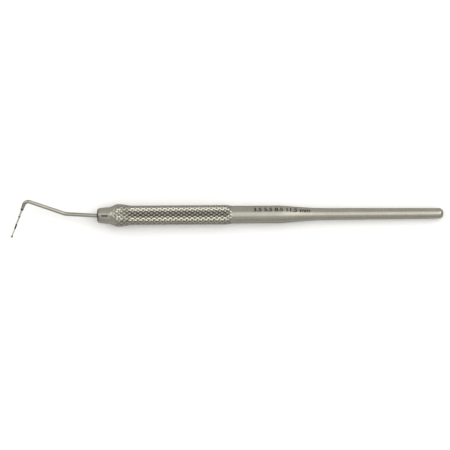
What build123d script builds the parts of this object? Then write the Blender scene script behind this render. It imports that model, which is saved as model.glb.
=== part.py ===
from build123d import *
import math
import os

# Single-ended dental probe: a knurled steel handle and a bent, graduated working end.
# Millimetres. While it is drawn, X runs along the handle's axis with 0 at the nose face
# and the tail towards +X. Then all of it is moved so that the origin is the bottom
# centre of the instrument's box, with +Z up and the instrument lying on a level surface.

# ---- handle: distances from the nose face, and radii ----
HANDLE_LENGTH = 118.5
NOSE_FACE_RADIUS = 2.45
NOSE_EDGE_BLEND = 0.9
NOSE_SHOULDER_X = 2.4
NOSE_SHOULDER_RADIUS = 2.72
NOSE_SHOULDER_BLEND = 6.0
NOSE_END_X = 4.5
NOSE_END_RADIUS = 2.85
NOSE_END_BLEND = 0.8
SWELL_START_X = 6.6
SWELL_END_X = 8.4
SWELL_RADIUS = 3.9
SWELL_FRONT_BLEND = 0.8
SWELL_BACK_BLEND = 4.0
GRIP_START_X = 11.4
GRIP_START_BLEND = 4.0
GRIP_END_X = 45.6
GRIP_RADIUS = 3.38
GRIP_RUNOUT = 0.7
GRIP_SIDES_START_X = 12.0
KNURL_STARTS = 15
CREST_ROWS = 2 * KNURL_STARTS
BARREL_RADIUS = 3.0
BARREL_END_X = 63.0
BARREL_END_BLEND = 25.0
TAIL_NECK_X = 73.8
TAIL_NECK_RADIUS = 2.06
TAIL_NECK_BLEND = 105.0
TAIL_END_RADIUS = 1.78
TAIL_EDGE_BLEND = 1.45

# ---- nose bore, its countersink and the braze in it ----
SHANK_RADIUS = 0.65
BORE_DEPTH = 14.0
BORE_POINT_ANGLE = 118.0
SHANK_SEAT_DEPTH = 13.5
SHANK_SEAT_CHAMFER = 0.2
COUNTERSINK_RADIUS = 1.3
COUNTERSINK_DEPTH = 0.5
BRAZE_EDGE_DEPTH = 0.15
BRAZE_CLIMB = 0.2
BRAZE_CLIMB_SLOPE = 0.35

# ---- staking slot punched into the nose over the shank ----
SLOT_CENTRE_X = 2.5
SLOT_LENGTH = 2.4
SLOT_WIDTH = 0.55
SLOT_DEPTH = 0.25
SLOT_SLOPE = 6.0
SLOT_TURN = 4.0

# ---- working end: its centre line leaves the nose on the handle's axis, then turns
# at each corner; lengths are between the corners ----
NOSE_RUN = 0.8
NOSE_TURN = 4.0
NOSE_BEND_RADIUS = 12.0
SHANK_LENGTH = 10.2
SHANK_TURN = 17.5
SHANK_BEND_RADIUS = 4.5
DIAGONAL_LENGTH = 14.4
TIP_TURN = 91.2
TIP_BEND_RADIUS = 1.6
TIP_ROOT_RADIUS = 0.61
TIP_LENGTH = 15.1
BALL_RADIUS = 0.3

# ---- tip: distance from the ball's end, and radius, at each change of its taper ----
NECK = (0.5, 0.18)
UNDERCUT = (10.9, 0.345)
SHOULDER = (11.1, 0.44)

# ---- graduations: distances from the ball's end ----
MARK_DEPTH = 0.05
BAND_NAME = "mark_band_3_5_to_5_5"
BAND = (3.5, 5.5)
RINGS = {"mark_ring_8_5": 8.5, "mark_ring_11_5": 11.5}
RING_WIDTH = 0.5

# ---- worked out from the above ----
def heading(degrees):
    """Unit vector in the drawing plane, turned from +X by an angle."""
    return Vector(math.cos(math.radians(degrees)), math.sin(math.radians(degrees)))


nose_corner = Vector(-NOSE_RUN, 0)
shank_corner = nose_corner + heading(180 - NOSE_TURN) * SHANK_LENGTH
tip_corner = shank_corner + heading(180 - NOSE_TURN - SHANK_TURN) * DIAGONAL_LENGTH
tip_way = heading(180 - NOSE_TURN - SHANK_TURN + TIP_TURN)
ball_end = tip_corner + tip_way * TIP_LENGTH
ball_centre = ball_end - tip_way * BALL_RADIUS

# The wire bends in one plane. The handle lies on its swell, and the plane is rolled
# about the handle's axis until the ball lies on the same level surface.
roll = math.asin((SWELL_RADIUS - BALL_RADIUS) / -ball_centre.Y)
bend_plane = Plane(
    origin=(0, 0, 0),
    x_dir=(1, 0, 0),
    z_dir=(0, -math.sin(roll), math.cos(roll)),
)
centre_line = bend_plane * FilletPolyline(
    (SHANK_SEAT_DEPTH, 0),
    nose_corner,
    shank_corner,
    tip_corner,
    ball_end,
    radius=[NOSE_BEND_RADIUS, SHANK_BEND_RADIUS, TIP_BEND_RADIUS],
)
seat_run, nose_bend, shank_run, shank_bend, diagonal_run, tip_bend, tip_run = centre_line.edges()

tip_plane = Plane(origin=tip_run @ 1, x_dir=-(tip_run % 1), z_dir=bend_plane.z_dir)
tip_stations = [NECK, UNDERCUT, SHOULDER, (tip_run.length, TIP_ROOT_RADIUS)]
marks = {BAND_NAME: BAND}
for name, distance in RINGS.items():
    marks[name] = (distance - RING_WIDTH / 2, distance + RING_WIDTH / 2)


def turned(outline, plane):
    """Solid of revolution about a plane's X axis, from closed (distance, radius) points."""
    face = plane * make_face(Polyline(*outline, close=True))
    return revolve(face, Axis(plane.origin, plane.x_dir))


def rod(stations, plane):
    """Turned solid that is full to the axis, from its (distance, radius) stations."""
    return turned([(stations[0][0], 0), *stations, (stations[-1][0], 0)], plane)


def run_plane(run):
    """Plane whose X axis follows one straight run of the wire."""
    return Plane(origin=run @ 0, x_dir=run % 0, z_dir=bend_plane.z_dir)


def bend(arc, radius):
    """Round wire along one arc of the centre line."""
    section = Plane(origin=arc @ 0, z_dir=arc % 0) * Circle(radius)
    return sweep(section, path=arc)


def tip_radius(distance):
    """Radius of the tip's taper at a distance from the ball's end."""
    for (near, near_radius), (far, far_radius) in zip(tip_stations, tip_stations[1:]):
        if near <= distance <= far:
            share = (distance - near) / (far - near)
            return near_radius + share * (far_radius - near_radius)
    raise ValueError("the distance is off the tip's taper")


def mark(start, end, rise):
    """Ring round the tip between two distances, from a groove's floor up."""
    outline = [
        (start, tip_radius(start) - MARK_DEPTH),
        (start, tip_radius(start) + rise),
        (end, tip_radius(end) + rise),
        (end, tip_radius(end) - MARK_DEPTH),
    ]
    return turned(outline, tip_plane)


def make_handle():
    """Solid turned bar, bored and countersunk in its nose, with the staking slot."""
    corners = [
        (0, 0),
        (0, NOSE_FACE_RADIUS),
        (NOSE_SHOULDER_X, NOSE_SHOULDER_RADIUS),
        (NOSE_END_X, NOSE_END_RADIUS),
        (SWELL_START_X, SWELL_RADIUS),
        (SWELL_END_X, SWELL_RADIUS),
        (GRIP_START_X, GRIP_RADIUS),
        (GRIP_END_X, GRIP_RADIUS),
        (GRIP_END_X + GRIP_RUNOUT, BARREL_RADIUS),
        (BARREL_END_X, BARREL_RADIUS),
        (TAIL_NECK_X, TAIL_NECK_RADIUS),
        (HANDLE_LENGTH, TAIL_END_RADIUS),
        (HANDLE_LENGTH, 0),
    ]
    blends = [
        NOSE_EDGE_BLEND,
        NOSE_SHOULDER_BLEND,
        NOSE_END_BLEND,
        SWELL_FRONT_BLEND,
        SWELL_BACK_BLEND,
        GRIP_START_BLEND,
        0,
        0,
        BARREL_END_BLEND,
        TAIL_NECK_BLEND,
        TAIL_EDGE_BLEND,
    ]
    outline = FilletPolyline(*corners, radius=blends) + Line(corners[-1], corners[0])
    bar = revolve(make_face(outline), Axis.X)

    # The starts of the two ways cross in CREST_ROWS rows of crests, set half a pitch
    # apart by turns. The envelope has a corner along each row, and no grooves.
    around = Plane.YZ.offset(GRIP_SIDES_START_X)
    sides = Circle(SWELL_RADIUS) - RegularPolygon(GRIP_RADIUS, CREST_ROWS, rotation=90)
    bar -= extrude(around * sides, GRIP_END_X + GRIP_RUNOUT - GRIP_SIDES_START_X)

    point_length = SHANK_RADIUS / math.tan(math.radians(BORE_POINT_ANGLE / 2))
    bore = turned(
        [
            (0, 0),
            (0, COUNTERSINK_RADIUS),
            (COUNTERSINK_DEPTH, SHANK_RADIUS),
            (BORE_DEPTH, SHANK_RADIUS),
            (BORE_DEPTH + point_length, 0),
        ],
        Plane.XY,
    )

    slope = math.radians(SLOT_SLOPE)
    slot_plane = Plane(
        origin=(SLOT_CENTRE_X, 0, NOSE_SHOULDER_RADIUS),
        x_dir=(math.cos(slope), 0, math.sin(slope)),
        z_dir=(-math.sin(slope), 0, math.cos(slope)),
    )
    punch = extrude(slot_plane * SlotOverall(SLOT_LENGTH, SLOT_WIDTH), SLOT_DEPTH, both=True)
    return bar - bore - punch.rotate(Axis.X, SLOT_TURN)


def make_braze():
    """Ring of braze in the countersink, concave between its wall and the shank."""
    edge_share = BRAZE_EDGE_DEPTH / COUNTERSINK_DEPTH
    edge_radius = COUNTERSINK_RADIUS - edge_share * (COUNTERSINK_RADIUS - SHANK_RADIUS)
    climb = (-BRAZE_CLIMB, SHANK_RADIUS)
    edge = (BRAZE_EDGE_DEPTH, edge_radius)
    root = (COUNTERSINK_DEPTH, SHANK_RADIUS)
    meniscus = TangentArc(climb, edge, tangent=(1, BRAZE_CLIMB_SLOPE))
    outline = meniscus + Line(edge, root) + Line(root, climb)
    return revolve(make_face(outline), Axis.X)


def make_working_end():
    """One wire: seated shank, bend, tapered diagonal, bend, tapered tip and ball."""
    wire = rod(
        [
            (0, SHANK_RADIUS - SHANK_SEAT_CHAMFER),
            (SHANK_SEAT_CHAMFER, SHANK_RADIUS),
            (seat_run.length, SHANK_RADIUS),
        ],
        run_plane(seat_run),
    )
    wire += bend(nose_bend, SHANK_RADIUS)
    wire += rod([(0, SHANK_RADIUS), (shank_run.length, SHANK_RADIUS)], run_plane(shank_run))
    wire += bend(shank_bend, SHANK_RADIUS)
    diagonal_stations = [(0, SHANK_RADIUS), (diagonal_run.length, TIP_ROOT_RADIUS)]
    wire += rod(diagonal_stations, run_plane(diagonal_run))
    wire += bend(tip_bend, TIP_ROOT_RADIUS)
    wire += rod(tip_stations, tip_plane)
    wire += Pos(*(tip_run @ 1 - tip_run % 1 * BALL_RADIUS)) * Sphere(BALL_RADIUS)
    for start, end in marks.values():
        wire -= mark(start, end, MARK_DEPTH)
    return wire


pieces = {
    "handle": make_handle(),
    "working_end": make_working_end(),
    "braze_ring": make_braze(),
}
for name, (start, end) in marks.items():
    pieces[name] = mark(start, end, 0)

box = Compound(children=[piece.solid() for piece in pieces.values()]).bounding_box()
to_origin = Location((-box.center().X, -box.center().Y, -box.min.Z))

os.makedirs("parts", exist_ok=True)
for name, piece in pieces.items():
    export_step(to_origin * piece.solid(), f"parts/{name}.step")

taper_turn = math.atan2(BARREL_RADIUS - TAIL_NECK_RADIUS, TAIL_NECK_X - BARREL_END_X)
barrel_start = GRIP_END_X + GRIP_RUNOUT
barrel_end = BARREL_END_X - BARREL_END_BLEND * math.tan(taper_turn / 2)
barrel_middle = (barrel_start + barrel_end) / 2
print("nose face centre", (to_origin * Pos(0, 0, 0)).position)
print("barrel's middle", (to_origin * Pos(barrel_middle, 0, 0)).position)
print("barrel's straight length", barrel_end - barrel_start)
print("ball's end", (to_origin * Pos(*tip_plane.origin)).position, "way", -tip_plane.x_dir)
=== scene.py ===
import math

import bmesh
import bpy
import numpy as np
from mathutils import Euler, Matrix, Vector, noise


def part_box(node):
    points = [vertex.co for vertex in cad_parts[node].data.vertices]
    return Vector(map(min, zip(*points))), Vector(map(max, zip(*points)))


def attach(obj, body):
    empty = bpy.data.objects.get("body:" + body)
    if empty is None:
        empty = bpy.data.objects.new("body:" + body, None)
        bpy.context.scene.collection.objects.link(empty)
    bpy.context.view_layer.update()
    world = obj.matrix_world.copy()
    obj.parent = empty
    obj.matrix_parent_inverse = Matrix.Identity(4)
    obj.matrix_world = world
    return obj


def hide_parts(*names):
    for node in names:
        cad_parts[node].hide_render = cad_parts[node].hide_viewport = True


# A steel dental probe lying on a white surface: knurled handle, bent and graduated tip.
# Sizes are millimetres unless a name says otherwise. X along the handle is the distance
# from its nose face, with the tail towards +X.

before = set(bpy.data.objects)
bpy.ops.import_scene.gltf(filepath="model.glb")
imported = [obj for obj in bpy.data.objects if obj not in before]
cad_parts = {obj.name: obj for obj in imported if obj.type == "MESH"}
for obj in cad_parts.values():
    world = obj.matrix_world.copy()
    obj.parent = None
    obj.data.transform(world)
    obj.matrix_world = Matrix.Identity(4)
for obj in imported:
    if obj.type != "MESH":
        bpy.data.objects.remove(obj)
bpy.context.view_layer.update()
MM = 0.001

# ---- where the handle lies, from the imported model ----
handle_low, handle_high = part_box("handle")
NOSE_X = handle_low.x / MM
AXIS_Y = (handle_low.y + handle_high.y) / 2 / MM
AXIS_Z = (handle_low.z + handle_high.z) / 2 / MM

# ---- handle: the turned outline's corners, as (distance, radius, corner's blend) ----
HANDLE_LENGTH = 118.5
BORE_RADIUS = 0.66
BORE_DEPTH = 14.0
BORE_POINT = 0.4
COUNTERSINK_RADIUS = 1.3
COUNTERSINK_DEPTH = 0.5
OUTLINE = [
    (BORE_DEPTH + BORE_POINT, 0, 0),
    (BORE_DEPTH, BORE_RADIUS, 0),
    (COUNTERSINK_DEPTH, BORE_RADIUS, 0),
    (0, COUNTERSINK_RADIUS, 0.06),
    (0, 2.45, 0.9),
    (2.4, 2.72, 6.0),
    (4.5, 2.85, 0.8),
    (6.6, 3.9, 0.8),
    (8.4, 3.9, 4.0),
    (11.4, 3.38, 4.0),
    (44.4, 3.38, 0.6),
    (46.5, 3.0, 0.6),
    (63.0, 3.0, 25.0),
    (73.8, 2.06, 105.0),
    (HANDLE_LENGTH, 1.78, 1.45),
    (HANDLE_LENGTH, 0, 0),
]

# ---- handle: how finely its plain parts are meshed, and what counts as the nose face,
# as the rounded end without plain rings, and as a sharp edge on any piece ----
ARC_STEP = math.radians(4)
RING_STEP = 1.0
LEAST_RING_GAP = 0.004
NOSE_FACE_X = 1e-6
TAIL_ROUND = 2.0
SHARP_ANGLE = math.radians(38)

# ---- knurl: starts round the handle, pitch along it, how uneven its crests are, and,
# as (distance, value), how deep it is and what share of it is flat ----
KNURL_STARTS = 15
KNURL_PITCH = 1.86
KNURL_STEPS = 12
KNURL_TURN = math.radians(0.6)
KNURL_MARGIN = 0.05
KNURL_UNEVEN = 0.02
KNURL_UNEVEN_CUT = 0.2
UNEVEN_ALONG = 0.9
UNEVEN_AROUND = 4.5
# depth at which the painted shade in the knurl's crossings is full
KNURL_SHADE_DEPTH = 0.25
KNURL_FULL_DEPTH = 0.34
KNURL_DEPTHS = [
    (4.9, 0),
    (6.4, 0.15),
    (8.6, 0.24),
    (11.8, KNURL_FULL_DEPTH),
    (44.4, KNURL_FULL_DEPTH),
    (46.4, 0.05),
    (46.8, 0),
]
KNURL_FLATS = [(6.4, 0.42), (8.6, 0.3), (11.8, 0.2), (46.9, 0.2)]
COLUMNS = KNURL_STARTS * KNURL_STEPS

# ---- staking slot over the shank, near the nose, and the rings that carry it: its
# floor's half width is a share of the slot's ----
SLOT_X = 2.5
SLOT_LENGTH = 2.6
SLOT_WIDTH = 0.5
SLOT_DEPTH = 0.24
SLOT_TURN = math.radians(-4)
SLOT_FLOOR = 0.25
SLOT_RINGS = (0.9, 4.2)
SLOT_RING_STEP = 0.1

# ---- painted shade at the bore's mouth, over the nose's edge: how far back it reaches, and how dark it is ----
NOSE_SHADE_LENGTH = 1.1
NOSE_SHADE_STRENGTH = 0.75

# ---- wire: the shank, two bends, the diagonal and the tip, and how finely they are
# meshed ----
SHANK_RADIUS = 0.65
SEAT_DEPTH = 13.5
SEAT_CHAMFER = 0.2
NOSE_RUN = 0.8
NOSE_TURN = 4.0
NOSE_BEND_RADIUS = 12.0
SHANK_LENGTH = 10.2
SHANK_TURN = 17.5
SHANK_BEND_RADIUS = 4.5
DIAGONAL_LENGTH = 14.4
DIAGONAL_PLAIN_END = 2.5
TIP_TURN = 91.2
TIP_BEND_RADIUS = 1.6
TIP_ROOT_RADIUS = 0.61
TIP_LENGTH = 15.1
BALL_RADIUS = 0.3
SWELL_RADIUS = 3.9
WIRE_SIDES = 48
WIRE_ARC_STEP = math.radians(2.5)
WIRE_RING_STEP = 1.0
WIRE_RINGS_START = 3.0
WIRE_RINGS_END = 0.5
WAY_STEP = 0.04

# ---- tip: distance from the ball's end, and radius, at each change of its taper; then
# its rings, and how bright the steel is at each distance, with painted shade darkening the
# ball ----
NECK = (0.5, 0.18)
NECK_BLEND = 0.1
UNDERCUT = (10.9, 0.345)
SHOULDER = (11.1, 0.44)
BALL_ANGLES = range(9, 136, 6)
TIP_RINGS_START = 0.6
TIP_RING_STEP = 0.35
TAPER_EDGE = 0.03
# painted shade darkens the ball; behind the tip the wire is darker
WIRE_BRIGHTNESS_AND_BALL_SHADE = [(0.55, 0.05), (0.9, 1), (10.9, 1), (11.5, 0.52)]

# ---- graduations: distances from the ball's end, and the grooves that hold them ----
BAND = (3.5, 5.5)
RING_WIDTH = 0.5
RINGS = {"mark_ring_8_5": 8.5, "mark_ring_11_5": 11.5}
MARK_DEPTH = 0.05
MARK_RISE = 0.03
MARK_ROUND = 0.05
GROOVE_CLEAR = 0.04
GROOVE_EDGE = 0.01

# ---- legend on the barrel ----
LEGEND = "3.5 5.5 8.5 11.5 mm"
LEGEND_START = 53.5
LEGEND_LENGTH = 19.4
LEGEND_HEIGHT = 1.55
LEGEND_BOLD = 0.028
LEGEND_TURN = math.radians(35)
LEGEND_RISE = 0.004
LEGEND_SINK = 0.01
LEGEND_STRIPS = 14
LEGEND_COLUMNS = 40
LEGEND_CURVE_STEPS = 4
LEGEND_MERGE = 1e-4

# ---- braze: its outline, as (distance behind the nose face, radius) ----
BRAZE_CLIMB = (-0.2, SHANK_RADIUS)
BRAZE_EDGE = (0.15, 1.105)
BRAZE_ROOT = (0.5, SHANK_RADIUS)
BRAZE_HOLLOW = 0.3
BRAZE_UNEVEN = 0.03
BRAZE_LUMPS = 1.5
BRAZE_POINTS = 7

# ---- camera ----
CAMERA_DISTANCE = 1.0
FRAME_WIDTH = 154.1
SENSOR_WIDTH = 36.0
CAMERA_BEHIND_NOSE = 43.7325
CAMERA_FROM_AXIS = -3.5205
CAMERA_TURN = math.radians(-0.38)

# ---- finish: noises are in blotches a metre, bumps in metres ----
HANDLE_COLOUR = (0.298, 0.285, 0.243)
WIRE_COLOUR = (0.5, 0.482, 0.405)
STEEL_DARK = (0.03, 0.029, 0.026)
# darkest share left by the painted shade in the knurl's crossings, the slot and the bore's
# mouth
PIT_SHADE = 0.2
KNURL_POLISH = 0.55
EDGE_TINT = (0.42, 0.42, 0.4, 1.0)
HANDLE_ROUGHNESS = 0.3
WIRE_ROUGHNESS = 0.28
BRAZE_DARK = (0.05, 0.042, 0.032)
BRAZE_LIGHT = (0.2, 0.16, 0.1)
MARK_DARK = (0.004, 0.004, 0.004)
MARK_LIGHT = (0.016, 0.016, 0.015)
NOISE_DETAIL = 3.0
LATHE_NOISE = 14000
LATHE_STRETCH = (1, 0.03, 0.03)
LATHE_BUMP = 6e-7
GRIND_NOISE = 14000
GRIND_STRETCH = (1, 1, 0.2)
GRIND_BUMP = 1.2e-6
BRAZE_NOISE = 5000
BRAZE_BUMP = 8e-6
DUST_NOISE = 6000
DUST_BUMP = 3e-6
HANDLE_CLOUDS = 260
WIRE_CLOUDS = 400

# ---- floor and light: each light's lean, swing, height and width in degrees ----
FLOOR_COLOUR = (0.74, 0.74, 0.74)
FLOOR_SIZE = 6.0
FLOOR_SLOPE = math.tan(math.radians(0.79))
SWELL_MIDDLE_X = 7.5
WORLD_COLOUR = (1.0, 1.0, 1.0)
WORLD_STRENGTH = 0.55
WARM = (1.0, 0.985, 0.95)
NEUTRAL = (1.0, 1.0, 1.0)
LIGHT_DISTANCE = 0.9
LIGHTS = [
    ("top", 4, 6, 56, 36, 1.5, WARM),
    ("key_left", 23, -38, 38, 30, 2.9, WARM),
    ("key_right", 15, 34, 52, 34, 2.9, WARM),
    ("back", 62, 0, 50, 120, 0.42, NEUTRAL),
    ("front", -50, 0, 44, 110, 0.45, NEUTRAL),
]


def blended(corners, arc_step=ARC_STEP):
    """Points of an outline whose corners (x, y, blend radius) are rounded with arcs."""
    points = []
    for i, (x, y, radius) in enumerate(corners):
        corner = Vector((x, y))
        if radius == 0:
            points.append(corner)
            continue
        back = (Vector(corners[i - 1][:2]) - corner).normalized()
        ahead = (Vector(corners[i + 1][:2]) - corner).normalized()
        turn = math.pi - back.angle(ahead)
        centre = corner + (back + ahead).normalized() * (radius / math.cos(turn / 2))
        first = corner + back * (radius * math.tan(turn / 2)) - centre
        sign = math.copysign(1, ahead.x * back.y - ahead.y * back.x)
        steps = max(2, math.ceil(turn / arc_step))
        for k in range(steps + 1):
            angle = sign * turn * k / steps
            across = Vector((-first.y, first.x))
            points.append(centre + first * math.cos(angle) + across * math.sin(angle))
    return points


def mesh_piece(name, vertices, faces, material, replaced=()):
    """Mesh piece from points in millimetres in the frame, smooth but for its sharp edges."""
    mesh = bpy.data.meshes.new(name)
    mesh.from_pydata([tuple(v) for v in np.asarray(vertices, float) * MM], [], faces)
    mesh.update()
    mesh.shade_smooth()
    mesh.set_sharp_from_angle(angle=SHARP_ANGLE)
    mesh.materials.append(material)
    piece = bpy.data.objects.new(name, mesh)
    bpy.context.scene.collection.objects.link(piece)
    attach(piece, "root")
    if replaced:
        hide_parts(*replaced)
    return piece


def add_shade(piece, name, values):
    """Number on each vertex, for the material to read."""
    attribute = piece.data.attributes.new(name, "FLOAT", "POINT")
    attribute.data.foreach_set("value", np.asarray(values, np.float32))


def ring_faces(rings, columns, parity=0):
    """Triangles between rings of vertices, with the diagonals turned square by square."""
    faces = []
    for i in range(rings - 1):
        for j in range(columns):
            a = i * columns + j
            b = i * columns + (j + 1) % columns
            c, d = a + columns, b + columns
            if (i + j + parity) % 2 == 0:
                faces += [(a, b, d), (a, d, c)]
            else:
                faces += [(a, b, c), (b, d, c)]
    return faces


def cap_faces(columns, ring_start, centre, outward):
    """Fan of triangles from a ring to its centre point."""
    faces = []
    for j in range(columns):
        a, b = ring_start + j, ring_start + (j + 1) % columns
        faces.append((a, b, centre) if outward else (b, a, centre))
    return faces


def unevenness(x, turns):
    """Small differences between the crests, from 0 to 1, at points round the handle."""
    places = [
        Vector((UNEVEN_ALONG * x, UNEVEN_AROUND * math.sin(t), UNEVEN_AROUND * math.cos(t)))
        for t in turns
    ]
    return np.array([0.5 + 0.5 * noise.noise(place) for place in places])


# ---- handle ----
def knurl_cut(x, i, j):
    """How far the knurl's two sets of grooves cut below the crests at a lattice point,
    and how near the point is to where they cross, which sets the painted shade there."""
    flat = np.interp(x, *zip(*KNURL_FLATS))
    shares = []
    for index in (j + i, j - i):
        closeness = np.abs(2 * (index % KNURL_STEPS) / KNURL_STEPS - 1)
        shares.append(np.clip((closeness - flat) / (1 - flat), 0, 1))
    depth = np.interp(x, *zip(*KNURL_DEPTHS))
    # painted shade in the knurl's crossings, full once the grooves are deep enough
    crossing = np.minimum(*shares) * min(1, depth / KNURL_SHADE_DEPTH)
    return depth * np.maximum(*shares), crossing


def slot_cut(x, turn, radius):
    """Depth of the staking slot at a point of the nose."""
    along = np.clip(np.abs(x - SLOT_X) - (SLOT_LENGTH - SLOT_WIDTH) / 2, 0, None)
    across = radius * np.abs(turn - SLOT_TURN)
    share = np.clip(1 + SLOT_FLOOR - np.hypot(along, across) / (SLOT_WIDTH / 2), 0, 1)
    return SLOT_DEPTH * share * share * (3 - 2 * share)


def nose_painted_shade(x, turns):
    """Painted shade of the gap at the bore's mouth, at points round the nose: darkest at the
    face and on top.
    """
    return NOSE_SHADE_STRENGTH * np.clip(1 - x / NOSE_SHADE_LENGTH, 0, 1) * np.clip(np.cos(turns), 0, 1)


handle_outline = blended(OUTLINE)
skin_start = max(k for k, p in enumerate(handle_outline) if p.x < NOSE_FACE_X)
bore_points = handle_outline[1:skin_start]
skin_x = [p.x for p in handle_outline[skin_start:-1]]
skin_radii = [p.y for p in handle_outline[skin_start:-1]]


def skin_radius(x):
    """Radius of the handle's outside, without its knurl."""
    return float(np.interp(x, skin_x, skin_radii))


def handle_rings():
    """Rings (x, radius, lattice row or None) of the handle, from the bore to the tail."""
    row_step = KNURL_PITCH / KNURL_STEPS
    first = math.ceil(KNURL_DEPTHS[0][0] / row_step)
    last = math.floor(KNURL_DEPTHS[-1][0] / row_step)
    rows = {k * row_step: k for k in range(first, last + 1)}
    knurl_start = min(rows)
    knurl_end = max(rows)
    clear_start = knurl_start - KNURL_MARGIN
    clear_end = knurl_end + KNURL_MARGIN
    plain = [x for x in skin_x if not clear_start < x < clear_end]
    plain += list(np.arange(*SLOT_RINGS, SLOT_RING_STEP))
    plain += list(np.arange(knurl_end + RING_STEP, HANDLE_LENGTH - TAIL_ROUND, RING_STEP))
    plain.sort()
    kept = [plain[0]]
    for x in plain[1:]:
        if x - kept[-1] > LEAST_RING_GAP:
            kept.append(x)
    rings = [(p.x, p.y, None) for p in bore_points]
    rings += [(x, skin_radius(x), None) for x in kept if x < knurl_start]
    rings += [(x, skin_radius(x), k) for x, k in rows.items()]
    rings += [(x, skin_radius(x), None) for x in kept if x > knurl_end]
    return rings


def make_handle(material):
    """The bored, knurled and stamped bar, as one closed mesh."""
    rings = handle_rings()
    columns = np.arange(COLUMNS)
    turns = 2 * math.pi * columns / COLUMNS + KNURL_TURN
    turns = (turns + math.pi) % (2 * math.pi) - math.pi
    vertices = []
    painted_shades = []
    knurls = []
    parity = 0
    for index, (x, radius, row) in enumerate(rings):
        cut = np.zeros(COLUMNS)
        # painted shade: at the bore's mouth, darkest on top; in the knurl's crossings; and
        # in the slot, by its depth
        painted_shade = nose_painted_shade(x, turns)
        if row is not None:
            cut, painted_shade = knurl_cut(x, row, columns)
            wear = KNURL_UNEVEN * min(1, cut.max() / KNURL_UNEVEN_CUT)
            cut += wear * unevenness(x, turns)
            parity = (row - index) % 2
        elif SLOT_RINGS[0] < x < SLOT_RINGS[1] and radius > COUNTERSINK_RADIUS:
            cut = slot_cut(x, turns, radius)
            # painted shade in the slot, darker where it is deeper
            painted_shade = cut / SLOT_DEPTH
        reach = radius - cut
        ring = np.column_stack([
            np.full(COLUMNS, NOSE_X + x),
            AXIS_Y + reach * np.sin(turns),
            AXIS_Z + reach * np.cos(turns),
        ])
        vertices.append(ring)
        painted_shades.append(painted_shade)
        share = np.interp(x, *zip(*KNURL_DEPTHS)) / KNURL_FULL_DEPTH
        knurls.append(np.full(COLUMNS, share))
    deep = len(rings) * COLUMNS
    tail = deep + 1
    vertices.append([(NOSE_X + BORE_DEPTH + BORE_POINT, AXIS_Y, AXIS_Z)])
    vertices.append([(NOSE_X + HANDLE_LENGTH, AXIS_Y, AXIS_Z)])
    faces = ring_faces(len(rings), COLUMNS, parity)
    faces += cap_faces(COLUMNS, 0, deep, False)
    faces += cap_faces(COLUMNS, (len(rings) - 1) * COLUMNS, tail, True)
    piece = mesh_piece(
        "turned_handle", np.vstack(vertices), [f[::-1] for f in faces], material,
        ("handle",),
    )
    add_shade(piece, "painted_shade", np.append(np.concatenate(painted_shades), [0, 0]))
    add_shade(piece, "knurl", np.append(np.concatenate(knurls), [0, 0]))
    return piece


# ---- wire ----
def heading(degrees):
    """Unit vector in the drawing plane, turned from +X."""
    return Vector((math.cos(math.radians(degrees)), math.sin(math.radians(degrees))))


class Wire:
    """The wire's centre line in the frame, measured from the ball's end."""

    def __init__(self):
        nose = Vector((-NOSE_RUN, 0))
        shank = nose + heading(180 - NOSE_TURN) * SHANK_LENGTH
        tip = shank + heading(180 - NOSE_TURN - SHANK_TURN) * DIAGONAL_LENGTH
        tip_way = heading(180 - NOSE_TURN - SHANK_TURN + TIP_TURN)
        end = tip + tip_way * TIP_LENGTH
        roll = math.asin((SWELL_RADIUS - BALL_RADIUS) / -(end - tip_way * BALL_RADIUS).y)
        corners = [
            (*end, 0),
            (*tip, TIP_BEND_RADIUS),
            (*shank, SHANK_BEND_RADIUS),
            (*nose, NOSE_BEND_RADIUS),
            (SEAT_DEPTH, 0, 0),
        ]
        self.line = np.array([
            (NOSE_X + p.x, AXIS_Y + p.y * math.cos(roll), AXIS_Z + p.y * math.sin(roll))
            for p in blended(corners, WIRE_ARC_STEP)
        ])
        self.side = np.array([0, -math.sin(roll), math.cos(roll)])
        steps = np.linalg.norm(np.diff(self.line, axis=0), axis=1)
        self.stops = np.concatenate([[0], np.cumsum(steps)])
        self.tip_run = self.stops[1]
        bend_end = self.tip_run + TIP_BEND_RADIUS * math.radians(TIP_TURN)
        self.taper = [
            NECK,
            UNDERCUT,
            SHOULDER,
            (self.tip_run, TIP_ROOT_RADIUS),
            (bend_end, TIP_ROOT_RADIUS),
            (bend_end + DIAGONAL_LENGTH - DIAGONAL_PLAIN_END, SHANK_RADIUS),
        ]

    def at(self, distance):
        """Point of the line at a distance from the ball's end."""
        return np.array([np.interp(distance, self.stops, self.line[:, k]) for k in range(3)])

    def way(self, distance):
        """Direction of the line there, towards the handle."""
        start = np.clip(distance, WAY_STEP, self.stops[-1] - WAY_STEP)
        way = self.at(start + WAY_STEP) - self.at(start - WAY_STEP)
        return way / np.linalg.norm(way)

    def ring(self, distance, radius):
        """Ring of points round the line."""
        across = np.cross(self.side, self.way(distance))
        turns = 2 * math.pi * np.arange(WIRE_SIDES) / WIRE_SIDES
        return self.at(distance) + radius * (
            np.outer(np.cos(turns), across) + np.outer(np.sin(turns), self.side)
        )

    def radius(self, distance):
        """Radius of the ground wire, with the ball blended into its neck."""
        taper = float(np.interp(distance, *zip(*self.taper)))
        ball = math.sqrt(max(BALL_RADIUS ** 2 - (distance - BALL_RADIUS) ** 2, 0))
        if distance <= BALL_RADIUS:
            return ball
        gap = max(NECK_BLEND - abs(ball - taper), 0)
        return max(ball, taper) + gap * gap / (4 * NECK_BLEND)


def mark_spans():
    """Start and end of each graduation, by the name of its CAD node."""
    spans = {"mark_band_3_5_to_5_5": BAND}
    for node, distance in RINGS.items():
        spans[node] = (distance - RING_WIDTH / 2, distance + RING_WIDTH / 2)
    return spans


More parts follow.
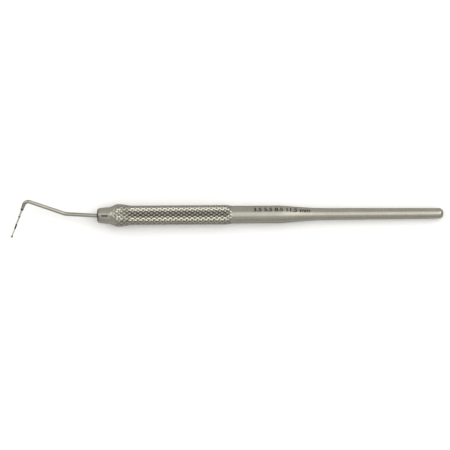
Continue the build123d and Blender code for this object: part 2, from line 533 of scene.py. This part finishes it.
def make_working_end(line, material):
    """The bent, tapered and grooved wire with its ball, as one closed mesh."""
    seat_end = line.stops[-1]
    stops = [BALL_RADIUS * (1 - math.cos(math.radians(a))) for a in BALL_ANGLES]
    stops += list(np.arange(TIP_RINGS_START, line.tip_run, TIP_RING_STEP))
    for place, _ in (UNDERCUT, SHOULDER):
        stops += [place - TAPER_EDGE, place, place + TAPER_EDGE]
    stops += list(line.stops[1:-1])
    stops += list(
        np.arange(line.tip_run + WIRE_RINGS_START, seat_end - WIRE_RINGS_END, WIRE_RING_STEP)
    )
    edges = {}
    for start, end in mark_spans().values():
        stops = [s for s in stops if not start - GROOVE_CLEAR < s < end + GROOVE_CLEAR]
        for edge, inward in ((start, GROOVE_EDGE), (end, -GROOVE_EDGE)):
            edges[edge - inward] = 0
            edges[edge + inward] = MARK_DEPTH
            stops += [edge - inward, edge + inward]
    stops.sort()
    rings = [line.ring(s, line.radius(s) - edges.get(s, 0)) for s in stops]
    rings.append(line.ring(seat_end - SEAT_CHAMFER, SHANK_RADIUS))
    rings.append(line.ring(seat_end, SHANK_RADIUS - SEAT_CHAMFER))
    count = len(rings) * WIRE_SIDES
    vertices = np.vstack(rings + [line.at(0)[None], line.at(seat_end)[None]])
    faces = ring_faces(len(rings), WIRE_SIDES)
    faces += cap_faces(WIRE_SIDES, 0, count, False)
    faces += cap_faces(WIRE_SIDES, count - WIRE_SIDES, count + 1, True)
    piece = mesh_piece(
        "ground_wire", vertices, faces, material, ("working_end",)
    )
    places = stops + [seat_end - SEAT_CHAMFER, seat_end]
    # painted shade on the ball; the wire behind the tip is darker than the tip
    brightness_and_ball_shade = np.interp(places, *zip(*WIRE_BRIGHTNESS_AND_BALL_SHADE))
    ends = [brightness_and_ball_shade[0], brightness_and_ball_shade[-1]]
    add_shade(piece, "brightness_and_ball_shade", np.append(np.repeat(brightness_and_ball_shade, WIRE_SIDES), ends))
    return piece


def make_mark(line, node, span, material):
    """Black fill of one graduation's groove, standing a little proud of the steel."""
    start, end = span
    outline = [
        (start, -MARK_DEPTH),
        (start, MARK_RISE / 2),
        (start + MARK_ROUND, MARK_RISE),
        (end - MARK_ROUND, MARK_RISE),
        (end, MARK_RISE / 2),
        (end, -MARK_DEPTH),
    ]
    outline.append(outline[0])
    rings = [line.ring(place, line.radius(place) + rise) for place, rise in outline]
    vertices = np.vstack(rings[:-1])
    faces = [
        tuple(k % len(vertices) for k in face) for face in ring_faces(len(rings), WIRE_SIDES)
    ]
    return mesh_piece("filled_" + node, vertices, faces, material, (node,))


def make_braze(material):
    """Uneven ring of braze between the shank and the countersink, hollow at its face."""
    outline = []
    for share in np.linspace(0, 1, BRAZE_POINTS):
        dip = BRAZE_HOLLOW * share * (1 - share)
        x = BRAZE_CLIMB[0] + share * (BRAZE_EDGE[0] - BRAZE_CLIMB[0]) + dip
        radius = BRAZE_CLIMB[1] + share * (BRAZE_EDGE[1] - BRAZE_CLIMB[1]) - dip
        outline.append((x, radius, math.sin(math.pi * share)))
    outline.append((*BRAZE_ROOT, 0))
    turns = 2 * math.pi * np.arange(WIRE_SIDES) / WIRE_SIDES
    rings = []
    for x, radius, free in outline + outline[:1]:
        places = [
            Vector((BRAZE_LUMPS * math.cos(t), BRAZE_LUMPS * math.sin(t), x)) for t in turns
        ]
        lumps = np.array([noise.noise(place) for place in places])
        rings.append(np.column_stack([
            NOSE_X + x - free * BRAZE_UNEVEN * lumps,
            AXIS_Y + radius * np.sin(turns),
            AXIS_Z + radius * np.cos(turns),
        ]))
    vertices = np.vstack(rings[:-1])
    faces = [
        tuple(k % len(vertices) for k in face)[::-1]
        for face in ring_faces(len(rings), WIRE_SIDES)
    ]
    return mesh_piece("braze_fillet", vertices, faces, material, ("braze_ring",))


def make_legend(material):
    """Row of numbers in paint on the barrel, as thin closed solids wrapped round it."""
    curve = bpy.data.curves.new("legend_text", "FONT")
    curve.body = LEGEND
    curve.resolution_u = LEGEND_CURVE_STEPS
    curve.offset = LEGEND_BOLD
    text = bpy.data.objects.new("legend_text", curve)
    bpy.context.scene.collection.objects.link(text)
    bpy.context.view_layer.update()
    flat = bmesh.new()
    flat.from_mesh(text.to_mesh())
    bpy.data.objects.remove(text)
    low = [min(v.co[k] for v in flat.verts) for k in (0, 1)]
    high = [max(v.co[k] for v in flat.verts) for k in (0, 1)]
    for v in flat.verts:
        v.co.x = LEGEND_START + LEGEND_LENGTH * (v.co.x - low[0]) / (high[0] - low[0])
        v.co.y = LEGEND_HEIGHT * ((v.co.y - low[1]) / (high[1] - low[1]) - 0.5)
    cuts = [(0, LEGEND_HEIGHT * (k / LEGEND_STRIPS - 0.5)) for k in range(1, LEGEND_STRIPS)]
    cuts += [
        (LEGEND_START + LEGEND_LENGTH * k / LEGEND_COLUMNS, 0)
        for k in range(1, LEGEND_COLUMNS)
    ]
    for x, y in cuts:
        bmesh.ops.bisect_plane(
            flat,
            geom=flat.verts[:] + flat.edges[:] + flat.faces[:],
            plane_co=(x, y, 0),
            plane_no=(1, 0, 0) if x else (0, 1, 0),
        )
    bmesh.ops.remove_doubles(flat, verts=flat.verts[:], dist=LEGEND_MERGE)
    bmesh.ops.triangulate(flat, faces=flat.faces[:])
    raised = bmesh.ops.extrude_face_region(flat, geom=flat.faces[:], use_keep_orig=True)
    raised_verts = {v for v in raised["geom"] if isinstance(v, bmesh.types.BMVert)}
    for v in flat.verts:
        v.co.z = LEGEND_RISE if v in raised_verts else -LEGEND_SINK
    bmesh.ops.recalc_face_normals(flat, faces=flat.faces[:])
    for v in flat.verts:
        x, height, rise = v.co
        radius = skin_radius(x) + rise
        turn = LEGEND_TURN + height / radius
        v.co = (
            NOSE_X + x, AXIS_Y + radius * math.sin(turn), AXIS_Z + radius * math.cos(turn)
        )
    # The mesh operators leave their faces in another order each run, so they are sorted.
    corners = sorted(flat.verts, key=lambda v: v.co[:])
    vertices = [v.co[:] for v in corners]
    places = {v: k for k, v in enumerate(corners)}
    faces = sorted([places[v] for v in face.verts] for face in flat.faces)
    flat.free()
    return mesh_piece("legend", vertices, faces, material)


# ---- materials ----
class Shader:
    """A principled material and the nodes that give it its detail."""

    def __init__(self, name, **values):
        self.material = bpy.data.materials.new(name)
        self.material.use_nodes = True
        self.nodes = self.material.node_tree.nodes
        self.links = self.material.node_tree.links
        self.surface = self.nodes["Principled BSDF"]
        for socket, value in values.items():
            self.surface.inputs[socket.replace("_", " ")].default_value = value
        self.place = self.nodes.new("ShaderNodeTexCoord").outputs["Object"]

    def noise(self, scale, stretch=(1, 1, 1)):
        """Noise over the object, with its scale in blotches a metre."""
        mapping = self.nodes.new("ShaderNodeMapping")
        mapping.inputs["Scale"].default_value = stretch
        texture = self.nodes.new("ShaderNodeTexNoise")
        texture.inputs["Scale"].default_value = scale
        texture.inputs["Detail"].default_value = NOISE_DETAIL
        self.links.new(self.place, mapping.inputs["Vector"])
        self.links.new(mapping.outputs["Vector"], texture.inputs["Vector"])
        return texture.outputs["Fac"]

    def spread(self, source, low, high, start=0.3, end=0.7):
        """The source's range from start to end, spread over low to high."""
        node = self.nodes.new("ShaderNodeMapRange")
        limits = {"From Min": start, "From Max": end, "To Min": low, "To Max": high}
        for socket, value in limits.items():
            node.inputs[socket].default_value = value
        self.links.new(source, node.inputs["Value"])
        return node.outputs["Result"]

    def times(self, a, b):
        """Product of two values."""
        node = self.nodes.new("ShaderNodeMath")
        node.operation = "MULTIPLY"
        self.links.new(a, node.inputs[0])
        self.links.new(b, node.inputs[1])
        return node.outputs["Value"]

    def shade(self, name):
        """Number stored on the mesh."""
        node = self.nodes.new("ShaderNodeAttribute")
        node.attribute_name = name
        return node.outputs["Fac"]

    def tint(self, factor, dark, light):
        """Base colour that goes from dark to light with the factor."""
        node = self.nodes.new("ShaderNodeMix")
        node.data_type = "RGBA"
        node.inputs["A"].default_value = (*dark, 1)
        node.inputs["B"].default_value = (*light, 1)
        self.links.new(factor, node.inputs["Factor"])
        self.links.new(node.outputs["Result"], self.surface.inputs["Base Color"])

    def rough(self, factor):
        """Roughness that follows the factor."""
        self.links.new(factor, self.surface.inputs["Roughness"])

    def bump(self, height, depth):
        """Fine relief of a depth in metres."""
        node = self.nodes.new("ShaderNodeBump")
        node.inputs["Strength"].default_value = 1.0
        node.inputs["Distance"].default_value = depth
        self.links.new(height, node.inputs["Height"])
        self.links.new(node.outputs["Normal"], self.surface.inputs["Normal"])


def handle_material():
    """Satin turned steel: rings from the lathe tool, and painted shade in the knurl's
    crossings, the slot and at the bore's mouth.
    """
    shader = Shader("handle_steel", Metallic=1.0, Specular_Tint=EDGE_TINT)
    rings = shader.noise(LATHE_NOISE, LATHE_STRETCH)
    cloud = shader.noise(HANDLE_CLOUDS)
    # painted shade darkens the base colour in the knurl's crossings, the slot and at the
    # bore's mouth
    unshaded = shader.spread(shader.shade("painted_shade"), 1.0, PIT_SHADE, 0.1, 0.7)
    shader.tint(
        shader.times(unshaded, shader.spread(cloud, 0.9, 1.0)), STEEL_DARK, HANDLE_COLOUR
    )
    polish = shader.spread(shader.shade("knurl"), 1.0, KNURL_POLISH, 0, 1)
    grain = shader.spread(rings, HANDLE_ROUGHNESS - 0.04, HANDLE_ROUGHNESS + 0.04)
    shader.rough(shader.times(grain, polish))
    shader.bump(rings, LATHE_BUMP)
    return shader.material


def wire_material():
    """Ground steel, with fine marks across the wire; painted shade darkens the ball, and the
    wire behind the tip is darker.
    """
    shader = Shader("wire_steel", Metallic=1.0, Specular_Tint=EDGE_TINT)
    grain = shader.noise(GRIND_NOISE, GRIND_STRETCH)
    cloud = shader.spread(shader.noise(WIRE_CLOUDS), 0.85, 1.0)
    # painted shade on the ball, and a darker wire behind the tip
    brightness_and_ball_shade = shader.shade("brightness_and_ball_shade")
    shader.tint(shader.times(brightness_and_ball_shade, cloud), STEEL_DARK, WIRE_COLOUR)
    shader.rough(shader.spread(grain, WIRE_ROUGHNESS - 0.04, WIRE_ROUGHNESS + 0.05))
    shader.bump(grain, GRIND_BUMP)
    return shader.material


def braze_material():
    """Dark braze with scale on it."""
    shader = Shader("braze", Metallic=1.0)
    scale = shader.noise(BRAZE_NOISE)
    shader.tint(shader.spread(scale, 0, 1), BRAZE_DARK, BRAZE_LIGHT)
    shader.rough(shader.spread(scale, 0.35, 0.6))
    shader.bump(scale, BRAZE_BUMP)
    return shader.material


def mark_material():
    """Matt black fill, a little dusty."""
    shader = Shader("mark_black", Metallic=0.0, Specular_IOR_Level=0.2)
    dust = shader.noise(DUST_NOISE)
    shader.tint(shader.spread(dust, 0, 1), MARK_DARK, MARK_LIGHT)
    shader.rough(shader.spread(dust, 0.45, 0.65))
    shader.bump(dust, DUST_BUMP)
    return shader.material


def floor_material():
    """Plain white matt surface."""
    shader = Shader(
        "floor_white", Metallic=0.0, Roughness=0.9, Specular_IOR_Level=0.0,
        Base_Color=(*FLOOR_COLOUR, 1),
    )
    return shader.material


# ---- the object ----
make_handle(handle_material())
wire_line = Wire()
make_working_end(wire_line, wire_material())
make_braze(braze_material())
black = mark_material()
for node, span in mark_spans().items():
    make_mark(wire_line, node, span, black)
make_legend(black)

# ---- floor: the probe lies on its swell and the end of its grip, and so leans on it ----
floor_mesh = bpy.data.meshes.new("floor")
half = FLOOR_SIZE / 2
corners = [(-half, -half), (half, -half), (half, half), (-half, half)]
touching_x = (NOSE_X + SWELL_MIDDLE_X) * MM
floor_mesh.from_pydata(
    [(x, y, (x - touching_x) * FLOOR_SLOPE) for x, y in corners], [], [(0, 1, 2, 3)]
)
floor_mesh.materials.append(floor_material())
floor = bpy.data.objects.new("floor", floor_mesh)
bpy.context.scene.collection.objects.link(floor)

# ---- light ----
world = bpy.data.worlds.new("studio")
world.use_nodes = True
world.node_tree.nodes["Background"].inputs["Color"].default_value = (*WORLD_COLOUR, 1)
world.node_tree.nodes["Background"].inputs["Strength"].default_value = WORLD_STRENGTH
bpy.context.scene.world = world


def softbox(name, lean, swing, high, wide, radiance, colour):
    """Rectangular light that faces the object: it leans towards +Y and swings towards +X
    from overhead, both in degrees, and its size is the angle it spans."""
    turn = Euler((math.radians(-lean), math.radians(swing), 0), "YXZ")
    light = bpy.data.lights.new(name, "AREA")
    light.shape = "RECTANGLE"
    light.size = 2 * LIGHT_DISTANCE * math.tan(math.radians(wide / 2))
    light.size_y = 2 * LIGHT_DISTANCE * math.tan(math.radians(high / 2))
    light.energy = math.pi * light.size * light.size_y * radiance
    light.color = colour
    box = bpy.data.objects.new(name, light)
    box.location = turn.to_matrix() @ Vector((0, 0, LIGHT_DISTANCE))
    box.rotation_euler = turn.to_matrix().to_euler()
    bpy.context.scene.collection.objects.link(box)


for light in LIGHTS:
    softbox(*light)

# ---- camera ----
camera_data = bpy.data.cameras.new("camera")
camera_data.sensor_width = SENSOR_WIDTH
camera_data.lens = SENSOR_WIDTH * CAMERA_DISTANCE / (FRAME_WIDTH * MM)
camera_data.clip_end = 10.0
camera = bpy.data.objects.new("camera", camera_data)
camera.location = (
    (NOSE_X + CAMERA_BEHIND_NOSE) * MM,
    (AXIS_Y + CAMERA_FROM_AXIS) * MM,
    AXIS_Z * MM + CAMERA_DISTANCE,
)
camera.rotation_euler = (0, 0, CAMERA_TURN)
bpy.context.scene.collection.objects.link(camera)
bpy.context.scene.camera = camera
bpy.context.scene.view_settings.view_transform = "Standard"
